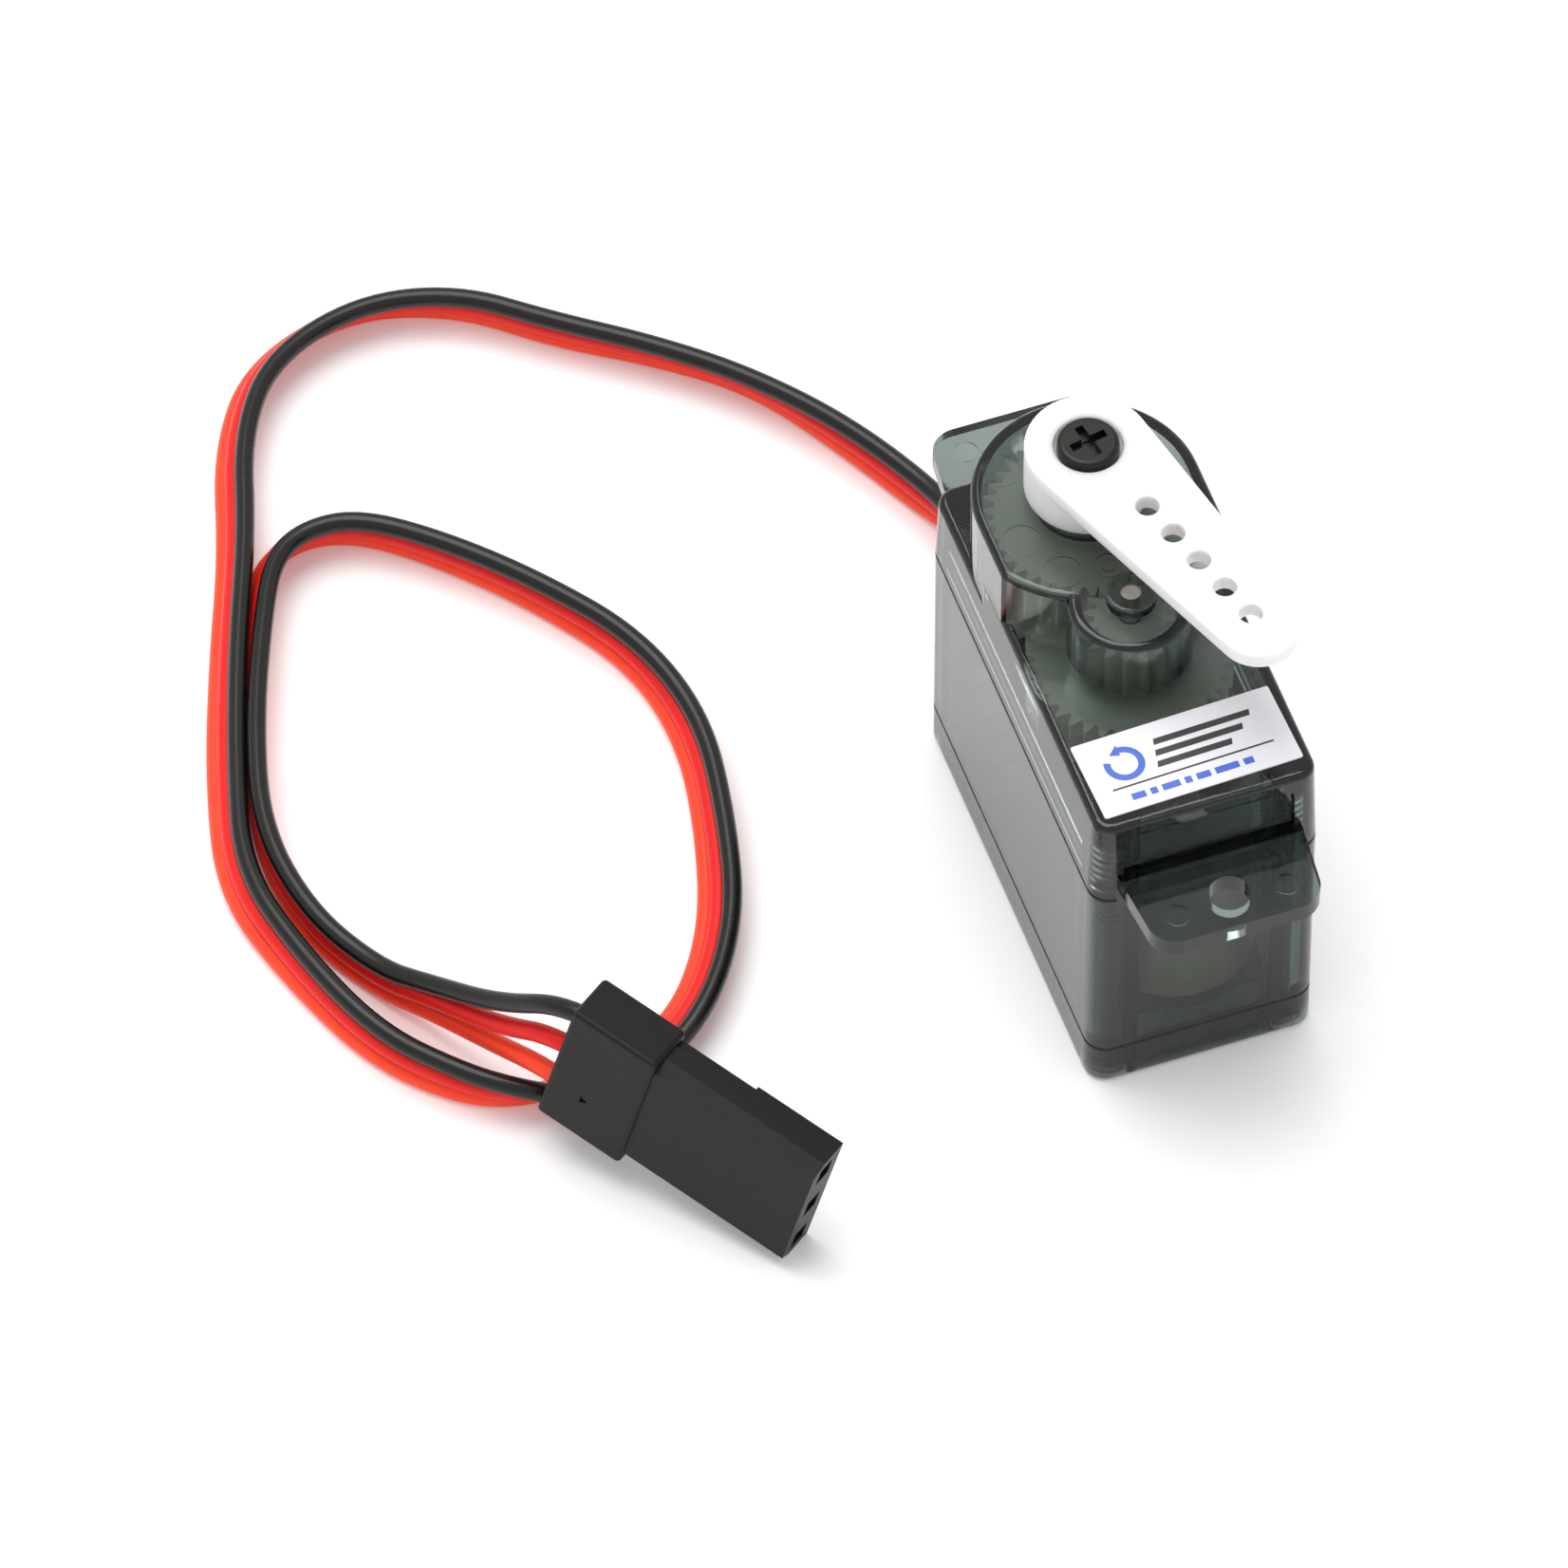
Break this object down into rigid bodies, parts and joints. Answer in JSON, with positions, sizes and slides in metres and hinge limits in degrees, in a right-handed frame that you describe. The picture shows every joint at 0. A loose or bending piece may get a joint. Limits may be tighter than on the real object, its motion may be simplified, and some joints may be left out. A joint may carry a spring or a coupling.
{
  "type": "servo motor",
  "caption": "Sub-micro servo motor in a smoke-tinted case with mounting tabs, a single-sided arm, a three-wire ribbon lead and a plug, with its gear train and motor inside.",
  "frame": {"origin": "centre of the case's underside", "axes": "+X along the case towards the output shaft's end, where the lead leaves; +Z along the output shaft, out of the case; +Y to the left when looking along +X"},
  "size_m": [0.062, 0.0474, 0.0273],
  "materials": {
    "smoke_plastic": "smoke-tinted translucent moulding",
    "black_plastic": "satin moulding",
    "white_nylon": "slightly translucent nylon",
    "gear_nylon": "natural acetal",
    "dark_steel": "blackened",
    "steel": "plain",
    "brass": "machined",
    "motor_steel": "plated",
    "magnet": "ferrite",
    "copper": "enamelled winding",
    "board": "solder mask",
    "chip": "epoxy",
    "ceramic": "ceramic",
    "tin": "tinned",
    "gold": "gold flash",
    "wire_black": "soft vinyl",
    "wire_red": "soft vinyl",
    "wire_orange": "soft vinyl",
    "grommet_rubber": "soft",
    "label": "printed film"
  },
  "bodies": {
    "case": {"top_case": "smoke_plastic", "middle_case": "smoke_plastic", "bottom_cover": "smoke_plastic", "case_screws": "dark_steel", "output_bushing": "brass", "idler_axle": "steel", "motor_magnets": "magnet", "motor_can": "motor_steel", "motor_end_cap": "black_plastic", "motor_terminals": "tin", "motor_lead_black": "wire_black", "motor_lead_red": "wire_red", "potentiometer_body": "black_plastic", "potentiometer_cover": "tin", "potentiometer_terminals": "tin", "potentiometer_leads": "wire_red", "control_board": "board", "control_chip": "chip", "driver_chips": "chip", "board_capacitors": "ceramic", "lead_pins": "tin", "cable_grommet": "grommet_rubber", "label": "label", "connector_housing": "black_plastic", "connector_contacts": "gold", "wire_black": "wire_black", "wire_red": "wire_red", "wire_orange": "wire_orange"},
    "output": {"output_gear": "gear_nylon", "servo_arm": "white_nylon", "arm_screw": "dark_steel", "potentiometer_shaft": "steel"},
    "third_stage": {"third_gear": "gear_nylon"},
    "second_stage": {"second_gear": "gear_nylon"},
    "first_stage": {"first_gear": "gear_nylon"},
    "motor_rotor": {"motor_shaft": "steel", "motor_pinion": "brass", "motor_armature": "copper"}
  },
  "joints": [
    {"name": "output_spin", "type": "hinge", "parent": "case", "child": "output", "pos_m": [0.0055, 0, 0.023], "axis": [0, 0, 1], "range_deg": [-60, 60]},
    {"name": "third_stage_spin", "type": "hinge", "parent": "case", "child": "third_stage", "pos_m": [-0.00129, 0.0003, 0.019], "axis": [0, 0, 1], "range_deg": [-145, 145]},
    {"name": "second_stage_spin", "type": "hinge", "parent": "case", "child": "second_stage", "pos_m": [0.0055, 0, 0.017], "axis": [0, 0, 1], "range_deg": [-340, 340]},
    {"name": "first_stage_spin", "type": "hinge", "parent": "case", "child": "first_stage", "pos_m": [-0.00129, 0.0003, 0.016], "axis": [0, 0, 1], "range_deg": [-805, 805]},
    {"name": "motor_spin", "type": "hinge", "parent": "case", "child": "motor_rotor", "pos_m": [-0.00673, 0, 0.015], "axis": [0, 0, 1], "range_deg": [-3540, 3540]}
  ],
  "couplings": [
    {"joint": "third_stage_spin", "follows": "output_spin", "ratio": -2.375},
    {"joint": "second_stage_spin", "follows": "output_spin", "ratio": 5.6406},
    {"joint": "first_stage_spin", "follows": "output_spin", "ratio": -13.396},
    {"joint": "motor_spin", "follows": "output_spin", "ratio": 58.945}
  ]
}
